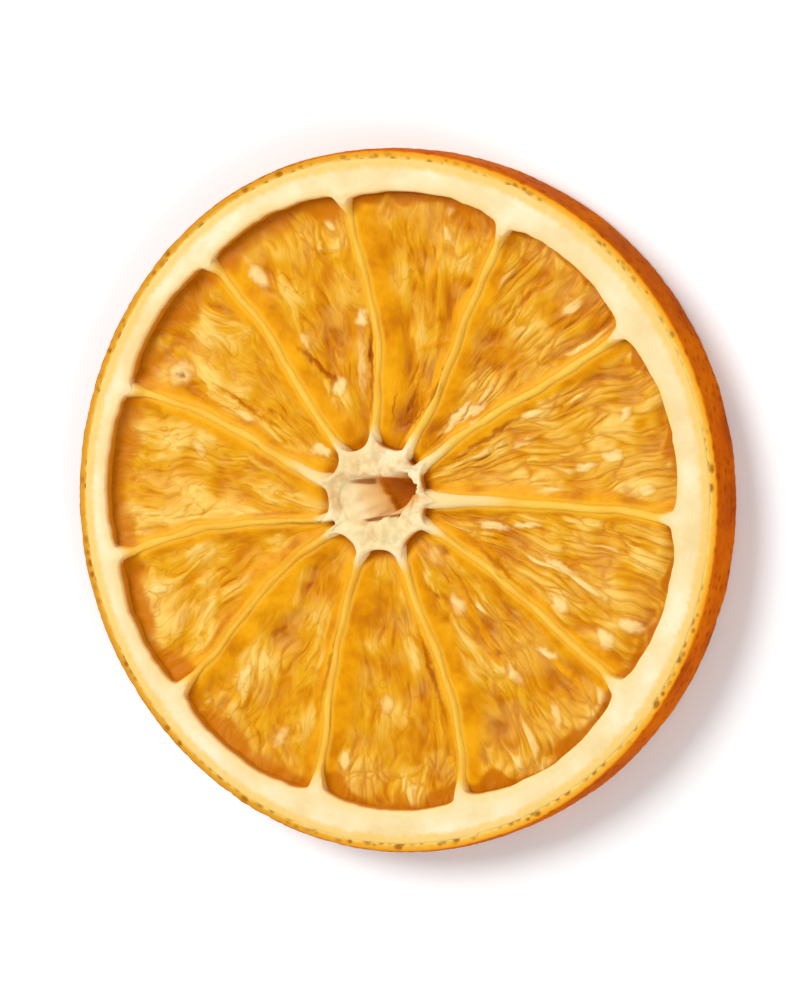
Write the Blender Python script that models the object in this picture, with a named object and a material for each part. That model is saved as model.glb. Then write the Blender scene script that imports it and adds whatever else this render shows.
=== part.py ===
"""A dried orange slice, cut across the fruit and lying flat, with its shown face up.

Units are metres and +Z is up. The origin is on the surface that the slice lies on, under the middle of its
outline. +X points to the right and +Y to the top of the face as it is seen in the photo.

The slice is one solid. Its surface is one closed net of rings, which starts at the rim of the hollow core,
runs outwards over the shown face, down the peel, inwards over the underside and up the hollow core again.
The columns of the net follow the skins between the segments, so segments and rounded corners lie on them.
"""

import math

import bmesh
import bpy
from mathutils import Vector, noise

MM = 0.001

# Driving sizes of the whole slice
SLICE_RADIUS = 32.0 * MM
RIM_THICKNESS = 4.8 * MM
PULP_RADIUS = 28.0 * MM
CORE_CENTRE = Vector((-1.65 * MM, 0.25 * MM))
CORE_RADIUS = 5.2 * MM
CORE_SCALLOP = 0.5 * MM

# The skins between the segments, anticlockwise from +X. The angles are about the core's centre and about the
# slice's centre. Between them a skin bows, positive where it lies further anticlockwise than a straight run, and
# it twists, positive where its half near the core lies further anticlockwise and its outer half further back.
SKIN_AT_CORE_DEG = (-1.2, 33.4, 54.1, 93.0, 129.0, 165.2, 202.5, 214.3, 251.2, 292.7, 333.2)
SKIN_AT_PITH_DEG = (-2.2, 34.4, 65.1, 99.0, 130.1, 159.5, 190.8, 219.3, 252.9, 283.4, 323.7)
SKIN_BOW_MM = (0.3, 0.25, 0.85, -0.35, -0.45, -1.35, -2.1, -0.25, -0.45, 0.35, -0.35)
SKIN_TWIST_MM = (0.0, 0.2, -0.2, -0.15, 0.3, 0.25, 0.05, -0.25, -0.05, -0.35, 0.25)

# A skin's crest is this wide on each side, and its side slopes down to the pulp over the slope's width. It
# flares where it grows out of the pith and out of the core: (how much wider each side, how soon that fades).
SKIN_HALF_WIDTH = 0.24 * MM
SKIN_SLOPE_WIDTH = 0.5 * MM
FLARE_AT_PITH = (1.5 * MM, 0.9 * MM)
FLARE_AT_CORE = (0.5 * MM, 1.4 * MM)

# How far each segment reaches from the slice's centre, between the skin of its number and the next one, and
# how much further its end bulges in the middle
SEGMENT_REACH_MM = (27.7, 27.7, 27.8, 28.2, 28.4, 28.6, 28.4, 28.4, 27.9, 27.6, 27.5)
SEGMENT_BULGE_MM = 0.25

# Heights above the slice's middle plane
PITH_HEIGHT = 0.5 * RIM_THICKNESS
CORE_HEIGHT = 1.95 * MM
SKIN_HEIGHT = 1.55 * MM
SKIN_ROUNDING = 0.12 * MM
PULP_HEIGHT = 1.15 * MM
PULP_SAG = 0.25 * MM
POCKET_DEPTH = 0.65 * MM
POCKET_LENGTH = 0.2
LUMP_HEIGHT = 0.5 * MM
LUMPS_ACROSS = 2.6
LUMPS_ALONG = 4.6

# The hollow core is a funnel: a long mouth in the shown face, a smaller one in the underside
MOUTH_HALF_SIZE = Vector((4.1 * MM, 2.3 * MM))
MOUTH_OFFSET = Vector((-0.2 * MM, 0.2 * MM))
OUTLET_HALF_SIZE = Vector((2.0 * MM, 1.7 * MM))
OUTLET_OFFSET = Vector((0.3 * MM, 0.0))
HOLLOW_CORNERS = ((5, 0.07, -7.0), (3, 0.05, 19.0))

# Drying has bent the slice into three low and three high stretches of rim. The low ones are pressed flat where
# the slice lies on them. Waves round the slice are (how many, height, the angle of one crest in degrees).
WARP_WAVES = ((3, 0.3 * MM, 205.0),)
OUTLINE_WAVES = ((2, 0.16 * MM, 70.0), (3, 0.12 * MM, 15.0), (5, 0.06 * MM, 40.0))
REST_FLAT_DEPTH = 0.22 * MM

# Places across the pulp of each segment, and along it from the core at 0 to the pith at 1
PULP_COLUMNS = 5
FACE_STEPS = (0.0, 0.04, 0.1, 0.19, 0.3, 0.41, 0.52, 0.63, 0.73, 0.81, 0.875, 0.925, 0.96, 0.985, 1.0)

# From the pith's inner lip to the middle of the peel, as (share of the rim's width, share of its half height)
RIM_PROFILE = ((0.05, 0.8), (0.2, 0.96), (0.45, 1.0), (0.72, 0.97), (0.86, 0.88), (0.95, 0.66), (1.0, 0.25))

# From the core's outer edge to the lip of its hollow, as (share of the core's width, share of its height), and
# down the wall of the hollow, as shares of the way to the underside
CORE_PROFILE = ((0.06, 0.9), (0.45, 1.0), (0.9, 0.88))
HOLLOW_STEPS = (0.08, 0.5, 0.92)
HOLLOW_LIP_HEIGHT = 0.8 * CORE_HEIGHT

SHOWN_FACE = 1
UNDERSIDE = -1
SEGMENTS = len(SKIN_AT_PITH_DEG)


def smooth_step(start, end, value):
    """0 at the start and beyond it, 1 at the end and beyond it, with a smooth change between them."""
    share = min(1.0, max(0.0, (value - start) / (end - start)))
    return share * share * (3.0 - 2.0 * share)


def mix(first, second, share):
    return first + (second - first) * share


def waves(table, angle):
    return sum(size * math.cos(count * (angle - math.radians(crest))) for count, size, crest in table)


def face_radius(out):
    """The radius of a ring on the face, from the core at 0 to the pith at 1."""
    return mix(CORE_RADIUS, PULP_RADIUS, out)


def skin_angle(number, out):
    """The angle of a skin's middle line. A number past the last skin goes on round the slice."""
    turns, index = divmod(number, SEGMENTS)
    straight = mix(math.radians(SKIN_AT_CORE_DEG[index]), math.radians(SKIN_AT_PITH_DEG[index]), out)
    bow = SKIN_BOW_MM[index] * math.sin(math.pi * out)
    twist = SKIN_TWIST_MM[index] * math.sin(2.0 * math.pi * out)
    return straight + (bow + twist) * MM / face_radius(out) + 2.0 * math.pi * turns


def flare(widening, distance):
    size, fade = widening
    return size * math.exp(-distance / fade)


def skin_half_widths(segment, out):
    """How far a skin's shoulder and its foot are from the skin's middle line."""
    from_core = face_radius(out) - CORE_RADIUS
    from_pith = PULP_RADIUS - face_radius(out)
    shoulder = SKIN_HALF_WIDTH + flare(FLARE_AT_PITH, from_pith) + flare(FLARE_AT_CORE, from_core)
    foot = shoulder + SKIN_SLOPE_WIDTH
    room = (skin_angle(segment + 1, out) - skin_angle(segment, out)) * face_radius(out)
    return min(shoulder, 0.2 * room), min(foot, 0.34 * room)


def columns():
    """Every column of the net, as (segment, kind, place).

    The place is how far across the segment a pulp column is. For a skin's foot or shoulder it is 1 on the
    segment's first skin and -1 on its last.
    """
    found = []
    for segment in range(SEGMENTS):
        found.append((segment, "crest", 0.0))
        found.append((segment, "shoulder", 1.0))
        found.append((segment, "foot", 1.0))
        for step in range(PULP_COLUMNS):
            found.append((segment, "pulp", (step + 1.0) / (PULP_COLUMNS + 1.0)))
        found.append((segment, "foot", -1.0))
        found.append((segment, "shoulder", -1.0))
    return found


def column_angle(column, out):
    segment, kind, place = column
    start, end = skin_angle(segment, out), skin_angle(segment + 1, out)
    shoulder, foot = (width / face_radius(out) for width in skin_half_widths(segment, out))
    if kind == "pulp":
        return mix(start + foot, end - foot, place)
    offset = {"crest": 0.0, "shoulder": shoulder, "foot": foot}[kind]
    return start + offset if place >= 0.0 else end - offset


def column_reach(column):
    """How far out from the slice's centre the column meets the pith."""
    segment, kind, place = column
    here, behind = SEGMENT_REACH_MM[segment], SEGMENT_REACH_MM[segment - 1]
    if kind == "pulp":
        return (here + SEGMENT_BULGE_MM * math.sin(math.pi * place)) * MM
    if kind == "crest":
        return 0.5 * (here + behind) * MM
    return here * MM


def core_reach(column):
    """How far the core reaches from its own centre. It is hollowed where the end of a segment lies on it."""
    segment, kind, place = column
    return CORE_RADIUS - CORE_SCALLOP * math.sin(math.pi * place) if kind == "pulp" else CORE_RADIUS


def pulp_height(segment, place, out, face):
    """The dried pulp sags between its skins and drops into a pocket in front of the pith."""
    in_pocket = smooth_step(1.0 - POCKET_LENGTH, 1.0, out)
    sag = PULP_SAG * math.sin(math.pi * place) * (1.0 - in_pocket)
    away_from_ends = smooth_step(0.0, 0.12, out) * smooth_step(1.0, 0.9, out)
    spot = Vector((segment * 7.3 + place * LUMPS_ACROSS, out * LUMPS_ALONG, 11.0 * face))
    lump = LUMP_HEIGHT * away_from_ends * noise.noise(spot)
    return PULP_HEIGHT - sag - POCKET_DEPTH * in_pocket + lump


def skin_height(out):
    """A skin stands highest where it meets the core and the pith."""
    to_pith = smooth_step(0.72, 1.0, out) * (0.8 * PITH_HEIGHT - SKIN_HEIGHT)
    to_core = smooth_step(0.3, 0.0, out) * (0.9 * CORE_HEIGHT - SKIN_HEIGHT)
    return SKIN_HEIGHT + to_pith + to_core


def ring_point(centre, radius, angle, height):
    return Vector((centre.x + radius * math.cos(angle), centre.y + radius * math.sin(angle), height))


def face_point(column, out, face):
    """A point between the core and the pith."""
    segment, kind, place = column
    if kind == "pulp":
        height = pulp_height(segment, place, out, face)
    elif kind == "foot":
        height = pulp_height(segment, 0.0, out, face)
    elif kind == "shoulder":
        height = skin_height(out) - SKIN_ROUNDING
    else:
        height = skin_height(out)
    radius = mix(core_reach(column), column_reach(column), out)
    return ring_point(CORE_CENTRE * (1.0 - out), radius, column_angle(column, out), face * height)


def rim_point(column, along, up, face):
    """A point on the pith or the peel, from the profile of the rim."""
    angle = column_angle(column, 1.0)
    outer = SLICE_RADIUS + waves(OUTLINE_WAVES, angle)
    radius = mix(column_reach(column), outer, along)
    return ring_point(Vector((0.0, 0.0)), radius, angle, face * up * PITH_HEIGHT)


def hollow_lip(angle, face):
    """The lip of the hollow core: an ellipse with a few blunt corners, because the core tore as it dried."""
    half_size = MOUTH_HALF_SIZE if face == SHOWN_FACE else OUTLET_HALF_SIZE
    offset = MOUTH_OFFSET if face == SHOWN_FACE else OUTLET_OFFSET
    ellipse = 1.0 / math.hypot(math.cos(angle) / half_size.x, math.sin(angle) / half_size.y)
    radius = ellipse * (1.0 + waves(HOLLOW_CORNERS, angle))
    return CORE_CENTRE + offset + Vector((math.cos(angle), math.sin(angle))) * radius


def core_point(column, inwards, up, face):
    """A point on the core, from its outer edge at 0 to the lip of its hollow at 1."""
    angle = column_angle(column, 0.0)
    outer = CORE_CENTRE + Vector((math.cos(angle), math.sin(angle))) * core_reach(column)
    spot = outer.lerp(hollow_lip(angle, face), inwards)
    return Vector((spot.x, spot.y, face * up * CORE_HEIGHT))


def hollow_wall_point(column, down):
    """A point on the wall of the hollow core, from the shown face at 0 to the underside at 1."""
    angle = column_angle(column, 0.0)
    spot = hollow_lip(angle, SHOWN_FACE).lerp(hollow_lip(angle, UNDERSIDE), down)
    return Vector((spot.x, spot.y, mix(HOLLOW_LIP_HEIGHT, -HOLLOW_LIP_HEIGHT, down)))


def face_rings(net, face):
    """The rings of one face, from the hollow core to the middle of the peel."""
    core = [[core_point(c, inwards, up, face) for c in net] for inwards, up in reversed(CORE_PROFILE)]
    pulp = [[face_point(c, out, face) for c in net] for out in FACE_STEPS]
    rim = [[rim_point(c, along, up, face) for c in net] for along, up in RIM_PROFILE]
    return core + pulp + rim


def slice_rings():
    """All rings of the closed net, in order."""
    net = columns()
    shown = face_rings(net, SHOWN_FACE)
    under = face_rings(net, UNDERSIDE)
    hollow = [[hollow_wall_point(c, down) for c in net] for down in reversed(HOLLOW_STEPS)]
    return shown + under[::-1] + hollow


def warped(rings):
    """The rings bent as drying bends a slice."""
    for ring in rings:
        for point in ring:
            angle = math.atan2(point.y, point.x)
            share = math.hypot(point.x, point.y) / SLICE_RADIUS
            point.z += share * share * waves(WARP_WAVES, angle)
    return rings


def set_down(rings):
    """The rings moved so that the slice lies on z = 0, centred on its outline, with its lowest rim flat."""
    points = [point for ring in rings for point in ring]
    middle = [0.5 * (min(p[axis] for p in points) + max(p[axis] for p in points)) for axis in (0, 1)]
    floor = min(p.z for p in points) + REST_FLAT_DEPTH
    for point in points:
        point.x -= middle[0]
        point.y -= middle[1]
        point.z = max(0.0, point.z - floor)
    return rings


def net_mesh(name, rings):
    """A closed mesh from rings of equal length, where the last ring joins the first."""
    shape = bmesh.new()
    rows = [[shape.verts.new(point) for point in ring] for ring in rings]
    for row, ring in enumerate(rows):
        following = rows[(row + 1) % len(rows)]
        for spot in range(len(ring)):
            beside = (spot + 1) % len(ring)
            shape.faces.new((ring[spot], following[spot], following[beside], ring[beside]))
    bmesh.ops.recalc_face_normals(shape, faces=shape.faces)
    bmesh.ops.triangulate(shape, faces=shape.faces)
    mesh = bpy.data.meshes.new(name)
    shape.to_mesh(mesh)
    shape.free()
    mesh.shade_smooth()
    return mesh


def amber_material():
    """Dried orange, taken as a whole: a slightly shiny amber."""
    material = bpy.data.materials.new("dried_orange")
    material.use_nodes = True
    shader = material.node_tree.nodes["Principled BSDF"]
    shader.inputs["Base Color"].default_value = (0.80, 0.36, 0.035, 1.0)
    shader.inputs["Roughness"].default_value = 0.42
    shader.inputs["Metallic"].default_value = 0.0
    return material


def clear_scene():
    for old in list(bpy.data.objects):
        bpy.data.objects.remove(old)


def main():
    clear_scene()
    rings = set_down(warped(slice_rings()))
    orange_slice = bpy.data.objects.new("orange_slice", net_mesh("orange_slice", rings))
    orange_slice.data.materials.append(amber_material())
    bpy.context.scene.collection.objects.link(orange_slice)


main()
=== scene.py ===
"""A dried orange slice lying flat on a pale studio floor, shown face up, with the camera looking down on it.

Sizes are in millimetres, measured from the slice's own middle plane and centre, until a piece's mesh is made.
"""

import math

import bpy
import numpy as np
from mathutils import Matrix, Vector


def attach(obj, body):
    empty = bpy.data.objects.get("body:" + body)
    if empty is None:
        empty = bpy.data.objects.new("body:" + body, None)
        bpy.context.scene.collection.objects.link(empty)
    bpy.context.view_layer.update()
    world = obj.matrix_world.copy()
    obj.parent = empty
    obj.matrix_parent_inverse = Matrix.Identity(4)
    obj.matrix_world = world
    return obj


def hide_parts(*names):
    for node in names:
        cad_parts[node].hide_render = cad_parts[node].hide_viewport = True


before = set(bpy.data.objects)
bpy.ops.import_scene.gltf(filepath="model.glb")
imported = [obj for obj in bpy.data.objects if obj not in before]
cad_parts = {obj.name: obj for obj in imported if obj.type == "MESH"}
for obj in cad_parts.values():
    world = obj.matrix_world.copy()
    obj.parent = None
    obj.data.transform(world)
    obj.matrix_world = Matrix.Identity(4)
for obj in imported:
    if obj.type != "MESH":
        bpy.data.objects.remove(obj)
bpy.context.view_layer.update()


# Peel
# The peel is the coloured outer rind of the orange, about a millimetre thick, dried to a tough orange-brown and
# cut square on both faces. There its oil glands show as dark specks, and round the outside they have dried to
# small pits. It grew on the pith, so its inner side is sunk a little way into it.
SLICE_RADIUS = 32.0
RIM_HALF_HEIGHT = 2.4
PEEL_WIDTH = 1.25
PEEL_EDGE_ROUNDING = 0.45
PEEL_INNER_HALF_HEIGHT = 1.7
PEEL_COLUMNS = 1260
PEEL_ROW_SPACING = 0.17
HIDDEN_ROW_SPACING = 0.7
PIT_SPACING = (1.15, 1.05)
PIT_DEPTH = 0.1
GLAND_SPACING = 1.15
GLAND_DEPTH = 0.14
# Two rows of glands: the share of them that shows, and how far in from the side the row runs.
GLAND_ROWS = ((0.75, 0.95), (0.45, 0.6))
GLAND_ROW_SHIFT = 0.37
OUTLINE_WAVES = ((2, 0.16, 70.0), (3, 0.12, 15.0), (5, 0.06, 40.0))
WARP_WAVES = ((3, 0.3, 205.0),)
MIDDLE_ABOVE_FLOOR = 2.442


def waves(table, angle):
    """A sum of waves round the slice, from (how many, height, the angle of one crest in degrees)."""
    return sum(size * np.cos(count * (angle - math.radians(crest))) for count, size, crest in table)


def outline(angle):
    return SLICE_RADIUS + waves(OUTLINE_WAVES, angle)


def smooth_step(start, end, value):
    """0 before the start, 1 past the end and a smooth rise or fall between them."""
    share = np.clip((value - start) / (end - start), 0.0, 1.0)
    return share * share * (3.0 - 2.0 * share)


def chance(column, row, seed):
    """A number from 0 to 1 that looks random but belongs to one square of a grid."""
    mixed = np.sin(column * 127.1 + row * 311.7 + seed * 74.7) * 43758.5453
    return mixed - np.floor(mixed)


def ripple(x, y, seed):
    """Smooth random hills and hollows about one unit long, from -1 to 1."""
    column, row = np.floor(x), np.floor(y)
    along, up = smooth_step(0.0, 1.0, x - column), smooth_step(0.0, 1.0, y - row)
    total = 0.0
    for right, share_along in ((0, 1.0 - along), (1, along)):
        for above, share_up in ((0, 1.0 - up), (1, up)):
            slope = 2.0 * math.pi * chance(column + right, row + above, seed)
            lean = np.cos(slope) * (x - column - right) + np.sin(slope) * (y - row - above)
            total = total + lean * share_along * share_up
    return 1.7 * total


def cells(x, y, seed):
    """Splits a surface into cells about one unit wide.

    Gives the distance to the nearest centre, how much further the next centre is, and a number of the cell's own.
    """
    column, row = np.floor(x), np.floor(y)
    nearest, next_nearest, number = np.full(x.shape, 9.0), np.full(x.shape, 9.0), np.zeros(x.shape)
    for across in (-1, 0, 1):
        for up in (-1, 0, 1):
            c, r = column + across, row + up
            centre_x = c + 0.15 + 0.7 * chance(c, r, seed)
            centre_y = r + 0.15 + 0.7 * chance(c, r, seed + 1)
            distance = np.hypot(x - centre_x, y - centre_y)
            number = np.where(distance < nearest, chance(c, r, seed + 2), number)
            next_nearest = np.minimum(next_nearest, np.maximum(nearest, distance))
            nearest = np.minimum(distance, nearest)
    return nearest, next_nearest - nearest, number


def evenly_along(points, spacing):
    """Points at even spacing along a line of straight runs."""
    points = np.array(points, float)
    run = np.concatenate([[0.0], np.cumsum(np.hypot(*np.diff(points, axis=0).T))])
    at = np.linspace(0.0, run[-1], max(2, int(round(run[-1] / spacing)) + 1))
    return np.stack([np.interp(at, run, points[:, k]) for k in (0, 1)], axis=1)


def laid_down(x, y, z):
    """Bends the slice as drying bent it, and sets it on the floor, in metres."""
    angle, share = np.arctan2(y, x), np.hypot(x, y) / SLICE_RADIUS
    z = z + share * share * waves(WARP_WAVES, angle) + MIDDLE_ABOVE_FLOOR
    return np.stack([x, y, np.maximum(z, 0.0)], axis=-1) * 0.001


def made_piece(name, points, corners, marks, sides=None):
    """A smooth mesh from points and its faces' corners, with named marks at each point for its material."""
    mesh = bpy.data.meshes.new(name)
    mesh.vertices.add(len(points))
    mesh.vertices.foreach_set("co", points.astype(np.float32).ravel())
    mesh.loops.add(corners.size)
    mesh.loops.foreach_set("vertex_index", corners.astype(np.int32).ravel())
    sides = np.full(corners.size // 4, 4) if sides is None else np.array(sides)
    mesh.polygons.add(len(sides))
    mesh.polygons.foreach_set("loop_start", (np.cumsum(sides) - sides).astype(np.int32))
    mesh.update(calc_edges=True)
    for mark_name, values in marks.items():
        kind, field = ("FLOAT_VECTOR", "vector") if values.size == 3 * len(points) else ("FLOAT", "value")
        attribute = mesh.attributes.new(mark_name, kind, "POINT")
        attribute.data.foreach_set(field, values.astype(np.float32).ravel())
    mesh.shade_smooth()
    piece = bpy.data.objects.new(name, mesh)
    bpy.context.scene.collection.objects.link(piece)
    return piece


def ring_faces(rows, columns):
    """The faces of a closed net that joins up both round the slice and round its section."""
    here = np.arange(rows * columns).reshape(rows, columns)
    beyond = np.roll(here, -1, axis=0)
    return np.stack([here, np.roll(here, -1, 1), np.roll(beyond, -1, 1), beyond], axis=-1).reshape(-1, 4)


def new_material(name, roughness, specular):
    """A material, its node tree and its shader."""
    material = bpy.data.materials.new(name)
    material.use_nodes = True
    tree = material.node_tree
    shader = tree.nodes["Principled BSDF"]
    shader.inputs["Roughness"].default_value = roughness
    shader.inputs["Specular IOR Level"].default_value = specular
    return material, tree, shader


def linear(red, green, blue):
    """A colour as read off a screen, from 0 to 255, in the renderer's own measure."""
    return tuple(((c / 255.0 + 0.055) / 1.055) ** 2.4 for c in (red, green, blue)) + (1.0,)


def mark(tree, name, output="Fac"):
    """The mark of that name on the mesh."""
    node = tree.nodes.new("ShaderNodeAttribute")
    node.attribute_name = name
    return node.outputs[output]


def speckle(tree, place, scale, detail=3.0, roughness=0.55):
    """Cloudy noise over a place, as a number from 0 to 1."""
    node = tree.nodes.new("ShaderNodeTexNoise")
    node.inputs["Scale"].default_value = scale
    node.inputs["Detail"].default_value = detail
    node.inputs["Roughness"].default_value = roughness
    tree.links.new(place, node.inputs["Vector"])
    return node.outputs["Fac"]


def spread(tree, value, low, high, to_low=0.0, to_high=1.0):
    """Stretches the part of a number between low and high."""
    node = tree.nodes.new("ShaderNodeMapRange")
    node.interpolation_type = "SMOOTHSTEP"
    for socket, number in zip(("From Min", "From Max", "To Min", "To Max"), (low, high, to_low, to_high)):
        node.inputs[socket].default_value = number
    tree.links.new(value, node.inputs["Value"])
    return node.outputs["Result"]


def arithmetic(tree, operation, first, second):
    """Two numbers put together by an operation such as ADD."""
    node = tree.nodes.new("ShaderNodeMath")
    node.operation = operation
    for socket, value in zip(node.inputs, (first, second)):
        if isinstance(value, (int, float)):
            socket.default_value = value
        else:
            tree.links.new(value, socket)
    return node.outputs[0]


def blend_colours(tree, amount, first, second):
    """The first colour where the amount is 0 and the second where it is 1."""
    node = tree.nodes.new("ShaderNodeMix")
    node.data_type = "RGBA"
    tree.links.new(amount, node.inputs["Factor"])
    for socket, colour in ((node.inputs[6], first), (node.inputs[7], second)):
        if isinstance(colour, tuple):
            socket.default_value = colour
        else:
            tree.links.new(colour, socket)
    return node.outputs[2]


def tinted(tree, colour, mark_name, low, high, most, tint):
    """Turns a colour towards a tint where a mark rises from low to high, by the share `most` in the end."""
    amount = spread(tree, mark(tree, mark_name), low, high, 0.0, most)
    return blend_colours(tree, amount, colour, linear(*tint))


def colour_ramp(tree, value, *stops):
    """A run of colours along a number, from (number, red, green, blue)."""
    node = tree.nodes.new("ShaderNodeValToRGB")
    elements = node.color_ramp.elements
    while len(elements) < len(stops):
        elements.new(0.5)
    for element, (at, *colour) in zip(elements, stops):
        element.position = at
        element.color = linear(*colour)
    tree.links.new(value, node.inputs["Fac"])
    return node.outputs["Color"]


def relief(tree, shader, height, depth):
    """Fine relief, with its depth in metres."""
    node = tree.nodes.new("ShaderNodeBump")
    node.inputs["Distance"].default_value = depth
    tree.links.new(height, node.inputs["Height"])
    tree.links.new(node.outputs["Normal"], shader.inputs["Normal"])


def let_light_in(shader, weight, reach_by_colour, reach):
    """Lets light soak in under the surface, with the reach in metres and its shares for red, green and blue."""
    shader.inputs["Subsurface Weight"].default_value = weight
    shader.inputs["Subsurface Radius"].default_value = reach_by_colour
    shader.inputs["Subsurface Scale"].default_value = reach


def peel_section():
    """The peel's section from its inner top corner outwards, down the side, in to the bottom corner and back."""
    turn = np.radians(np.linspace(89.9, -89.9, 81))
    bulge = PEEL_EDGE_ROUNDING * (1.0 - np.cos(turn) ** 0.5)
    side = list(zip(bulge, RIM_HALF_HEIGHT * np.sign(turn) * np.abs(np.sin(turn)) ** 0.55))
    corner = (PEEL_WIDTH, PEEL_INNER_HALF_HEIGHT)
    top = [corner, (PEEL_WIDTH - 0.06, 2.2), (PEEL_WIDTH - 0.2, 2.36)]
    bottom = [(inwards, -height) for inwards, height in reversed(top)]
    shown = evenly_along(top + side + bottom, PEEL_ROW_SPACING)
    hidden = evenly_along([(PEEL_WIDTH, -PEEL_INNER_HALF_HEIGHT), corner], HIDDEN_ROW_SPACING)[1:-1]
    return np.concatenate([shown, hidden])


section = peel_section()
inwards, height = section[:, 0][:, None], section[:, 1][:, None]
angle = np.linspace(0.0, 2.0 * math.pi, PEEL_COLUMNS, endpoint=False)[None, :]
along_rim = angle * SLICE_RADIUS
flat = 0.0 * along_rim
cut = smooth_step(0.12, 0.5, inwards) + flat
side = smooth_step(0.45, 0.1, inwards) + flat

pit_distance, _, pit_number = cells(along_rim / PIT_SPACING[0], height / PIT_SPACING[1] + 7.0, 3)
pits = smooth_step(0.42, 0.1, pit_distance) * (0.2 + 0.8 * pit_number) * side
swell = ripple(along_rim / 3.1, height / 2.2 + 5.0, 11) * side

gland = flat + 0.0 * inwards
for row, (shown_share, row_inwards) in enumerate(GLAND_ROWS):
    shift = GLAND_ROW_SHIFT * row
    column = np.floor(along_rim / GLAND_SPACING + shift)
    gland_x = (column - shift + 0.5 + 0.5 * (chance(column, row, 21) - 0.5)) * GLAND_SPACING
    gland_at = row_inwards + 0.25 * (chance(column, row, 22) - 0.5)
    gland_size = 0.18 + 0.24 * chance(column, row, 23)
    gap = np.hypot((along_rim - gland_x) / 1.35, inwards - gland_at) / gland_size
    strength = (0.35 + 0.65 * chance(column, row, 26)) * (chance(column, row, 24) < shown_share)
    gland = np.maximum(gland, strength * smooth_step(1.3, 0.2, gap))
more_at_bottom = 0.5 * smooth_step(-0.3, -0.9, np.sin(angle))
gland = gland * cut * smooth_step(-0.9, 0.2, ripple(along_rim / 7.0, flat, 25) + more_at_bottom)
# Painted shade: the cut rind is painted darker on the left side of the slice, darkest along the top edge of the cut.
left = smooth_step(0.2, -0.5, np.cos(angle))
lip = 0.2 * ripple(along_rim / 1.7, flat, 31) + 0.12 * ripple(along_rim / 0.7, flat, 32)

radius = outline(angle) - inwards + lip * smooth_step(0.7, PEEL_WIDTH, inwards)
pebbled = ripple(along_rim / 0.6, height / 0.6, 12) * side
radius = radius - PIT_DEPTH * pits - 0.05 * side + 0.05 * swell + 0.03 * pebbled
sunk = GLAND_DEPTH * gland + 0.03 * cut * (1 + ripple(along_rim / 0.8, inwards / 0.5, 13))
cut_height = np.sign(height) * (np.abs(height) - sunk)
peel_points = laid_down(radius * np.cos(angle), radius * np.sin(angle), cut_height)
peel = made_piece(
    "peel",
    peel_points.reshape(-1, 3),
    ring_faces(*peel_points.shape[:2]),
    {
        "inwards": (inwards + flat).ravel(),
        "pit": pits.ravel(),
        "gland": gland.ravel(),
        "left": (left + 0.0 * inwards).ravel(),
        "shaded_left_edge": (left * smooth_step(2.05, 2.3, height)).ravel(),
    },
)

rind, tree, shader = new_material("dried_peel", 0.5, 0.005)
place = tree.nodes.new("ShaderNodeTexCoord").outputs["Object"]
clouds = speckle(tree, place, 220.0, 4.0)
grain = speckle(tree, place, 1700.0, 3.0)
browned = colour_ramp(tree, clouds, (0.32, 164, 66, 0), (0.5, 190, 86, 0), (0.7, 206, 104, 2))
pored = tinted(tree, browned, "pit", 0.1, 0.9, 0.5, (132, 46, 0))
cut_at = arithmetic(tree, "ADD", mark(tree, "inwards"), arithmetic(tree, "MULTIPLY", grain, 0.25))
cut_rind = colour_ramp(
    tree, cut_at,
    (0.0, 190, 88, 0), (0.24, 226, 130, 14), (0.5, 228, 156, 36), (0.9, 234, 180, 70), (1.0, 240, 200, 104)
)
# Painted shade: the rind's cut face turns browner on the left side.
left_rind_shade = arithmetic(tree, "MULTIPLY", mark(tree, "left"), spread(tree, cut_at, 1.2, 0.6, 0.0, 0.7))
cut_rind = blend_colours(tree, left_rind_shade, cut_rind, linear(202, 140, 36))
glanded = tinted(tree, cut_rind, "gland", 0.05, 0.9, 0.8, (152, 84, 10))
shown = blend_colours(tree, spread(tree, mark(tree, "inwards"), 0.08, 0.3), pored, glanded)
# Painted shade along the top edge of the cut on the left side.
left_edge_shade = arithmetic(tree, "MULTIPLY", mark(tree, "shaded_left_edge"), spread(tree, cut_at, 0.5, 0.2, 0.0, 0.9))
shown = blend_colours(tree, left_edge_shade, shown, linear(134, 74, 12))
tree.links.new(shown, shader.inputs["Base Color"])
tree.links.new(spread(tree, clouds, 0.3, 0.7, 0.36, 0.55), shader.inputs["Roughness"])
relief(tree, shader, arithmetic(tree, "ADD", grain, clouds), 0.0001)
let_light_in(shader, 0.15, (1.0, 0.35, 0.05), 0.0008)
peel.data.materials.append(rind)
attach(peel, "root")
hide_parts("orange_slice")


# Pith, skins and core
# The pith is the white spongy layer inside the peel. The same tissue makes the core and the papery skins between
# the segments, so all of it is one piece. Drying shrank the skins to thin cords that stand a little proud of the
# pulp, and tore the core open into a hollow that slopes down to a hole.
CORE_CENTRE = (-1.65, 0.25)
CORE_RADIUS = 5.2
INNER_END_RADIUS = 4.7
INNER_END_DEPTHS = (1.5, 1.3, 1.5, 1.7, 1.8, 1.6, 0.9, 1.5, 1.9, 1.8, 1.5)
INNER_END_SQUARENESS = 2.3
PULP_RADIUS = 28.0
SKIN_AT_CORE_DEG = (-1.2, 33.4, 54.1, 93.0, 129.0, 165.2, 202.5, 214.3, 251.2, 292.7, 333.2)
SKIN_AT_PITH_DEG = (-2.2, 34.4, 65.1, 99.0, 130.1, 159.5, 190.8, 219.3, 252.9, 283.4, 323.7)
SKIN_BOW = (0.3, 0.25, 0.85, -1.0, -0.45, -1.35, -2.1, -0.25, -0.45, 0.35, -0.35)
SKIN_TWIST = (0.0, 0.2, -0.2, -0.15, 0.3, 0.25, 0.05, -0.25, -0.05, -0.35, 0.25)
SKIN_HALF_WIDTH = 0.3
SKIN_SLOPE_WIDTH = 0.6
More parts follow.
